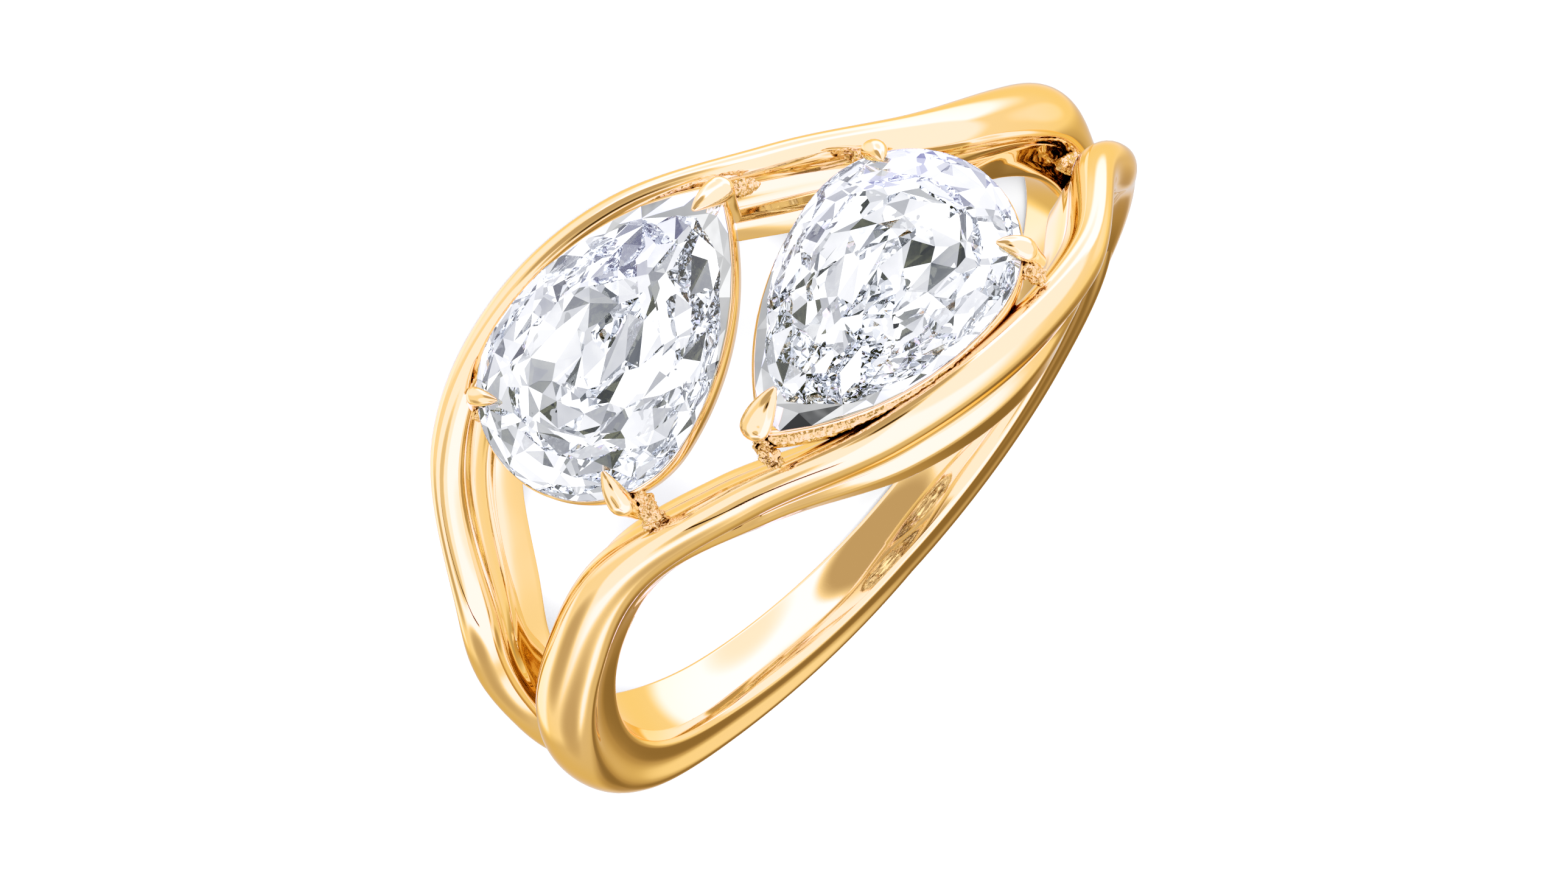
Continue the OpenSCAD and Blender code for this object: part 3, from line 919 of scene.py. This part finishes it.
# What the stones see round them: cells of light, and a slow swell of brightness over the cells. Each tone
# starts at this share of them
SPARKLE_SCALE, SPARKLE_STRENGTH = 3.0, 1.25
SWELL_SCALE, SWELL_DEPTH = 1.1, 1.1
SPARKLE = [
    (0.0, (0.018, 0.020, 0.028)),
    (0.05, (0.065, 0.070, 0.085)),
    (0.10, (0.145, 0.150, 0.170)),
    (0.20, (0.29, 0.295, 0.32)),
    (0.36, (0.49, 0.495, 0.52)),
    (0.55, (0.79, 0.79, 0.81)),
    (0.75, (1.6, 1.6, 1.6)),
]

world = bpy.data.worlds.new("studio")
bpy.context.scene.world = world
world.use_nodes = True
tree = world.node_tree
link = tree.links.new
coords = node(tree, "ShaderNodeTexCoord")


def maths(operation, *values):
    """One sum on the world's values."""
    n = node(tree, "ShaderNodeMath", operation=operation)
    for i, value in enumerate(values):
        if isinstance(value, (int, float)):
            n.inputs[i].default_value = value
        else:
            link(value, n.inputs[i])
    return n.outputs[0]


def direction(az, el):
    """The way to an azimuth and an elevation, in degrees."""
    a, e = math.radians(az), math.radians(el)
    return Vector((math.cos(a) * math.cos(e), math.sin(a) * math.cos(e), math.sin(e)))


def along(axis):
    """How far each direction points along the axis."""
    dot = node(tree, "ShaderNodeVectorMath", operation="DOT_PRODUCT")
    link(coords.outputs["Generated"], dot.inputs[0])
    dot.inputs[1].default_value = axis
    return dot.outputs["Value"]


def ease(value, low, high):
    """0 where value is low, 1 where it is high."""
    n = node(tree, "ShaderNodeMapRange", interpolation_type="SMOOTHSTEP")
    link(value, n.inputs["Value"])
    n.inputs["From Min"].default_value = low
    n.inputs["From Max"].default_value = high
    return n.outputs["Result"]


def lay(under, share, amount):
    """A box or flag of this amount laid over what is under it."""
    n = node(tree, "ShaderNodeMix", data_type="FLOAT")
    link(share, n.inputs[0])
    if isinstance(under, float):
        n.inputs[2].default_value = under
    else:
        link(under, n.inputs[2])
    n.inputs[3].default_value = amount
    return n.outputs[0]


def cosine(degrees):
    return math.cos(math.radians(degrees))


radiance = STUDIO_BASE
for az, el, half, soft, amount in STUDIO:
    share = ease(along(direction(az, el)), cosine(half + soft), cosine(max(0, half - soft)))
    radiance = lay(radiance, share, amount)
for one, two, half, amount in CARDS:
    one, two = direction(*one), direction(*two)
    middle = (one + two).normalized()
    across = one.cross(two).normalized()
    edge = math.sin(math.radians(half))
    inside = ease(maths("ABSOLUTE", along(across)), edge * 1.4, edge * 0.6)
    reach = math.degrees(one.angle(two)) / 2
    inside = maths("MULTIPLY", inside, ease(along(middle), cosine(reach + 3), cosine(reach - 3)))
    radiance = lay(radiance, inside, amount)

# What rays see once they have been in a stone: bright cells, grey ones and a few dark ones
cells = node(tree, "ShaderNodeTexVoronoi", Scale=SPARKLE_SCALE)
link(coords.outputs["Generated"], cells.inputs["Vector"])
shade_of = node(tree, "ShaderNodeSeparateColor")
link(cells.outputs["Color"], shade_of.inputs[0])
tones = node(tree, "ShaderNodeValToRGB")
tones.color_ramp.interpolation = "CONSTANT"
ramp = tones.color_ramp.elements
for i, (start, colour) in enumerate(SPARKLE):
    tone = ramp[i] if i < 2 else ramp.new(start)
    tone.position, tone.color = start, (*colour, 1)
swell = node(tree, "ShaderNodeTexNoise", Scale=SWELL_SCALE, Detail=0.0)
link(coords.outputs["Generated"], swell.inputs["Vector"])
lift = maths("SUBTRACT", swell.outputs["Fac"], 0.5)
link(maths("MULTIPLY_ADD", lift, SWELL_DEPTH, shade_of.outputs[0]), tones.inputs["Fac"])
seen = node(tree, "ShaderNodeLightPath")
studio_light = tree.nodes["Background"]
stone_light = node(tree, "ShaderNodeBackground")
stone_light.inputs["Strength"].default_value = SPARKLE_STRENGTH
link(tones.outputs["Color"], stone_light.inputs["Color"])
radiance = maths("POWER", 2.0, radiance)
# The boxes are cooler where they are brighter
glare = maths("MULTIPLY", maths("MAXIMUM", maths("SUBTRACT", radiance, 1.0), 0.0), seen.outputs["Is Glossy Ray"])
tint = node(tree, "ShaderNodeCombineColor")
tint.inputs[0].default_value = tint.inputs[1].default_value = 1.0
link(maths("MULTIPLY_ADD", glare, GLARE_BLUE, 1.0), tint.inputs[2])
link(tint.outputs[0], studio_light.inputs["Color"])
left_over = maths("MULTIPLY_ADD", seen.outputs["Is Diffuse Ray"], -FLOOR_LOSS, 1.0)
link(maths("MULTIPLY", radiance, left_over), studio_light.inputs["Strength"])
either = node(tree, "ShaderNodeMixShader")
link(seen.outputs["Is Transmission Ray"], either.inputs[0])
link(studio_light.outputs[0], either.inputs[1])
link(stone_light.outputs[0], either.inputs[2])
link(either.outputs[0], tree.nodes["World Output"].inputs["Surface"])

floor.visible_glossy = floor.visible_transmission = False

cycles = bpy.context.scene.cycles
cycles.max_bounces = 24
cycles.glossy_bounces = cycles.transmission_bounces = 20
cycles.caustics_reflective = cycles.caustics_refractive = False

# The photograph's tones: stops below white, and how bright they show out of 255
TONES = [
    (0, 255),
    (0.5, 234),
    (1, 213),
    (1.5, 192),
    (2, 171),
    (2.5, 150),
    (3, 130),
    (3.5, 112),
    (4.15, 90),
    (5.25, 60),
    (6.75, 30),
    (8.5, 10),
]


def as_light(shown):
    """The standard screen's curve undone."""
    c = shown / 255
    return c / 12.92 if c <= 0.04045 else ((c + 0.055) / 1.055) ** 2.4


view = bpy.context.scene.view_settings
view.view_transform = "Standard"
view.use_curve_mapping = True
curve = view.curve_mapping.curves[3]
curve.points[0].location = (0, 0)
curve.points[1].location = (1, 1)
for stops, shown in TONES[1:]:
    curve.points.new(2.0**-stops, as_light(shown))
view.curve_mapping.update()
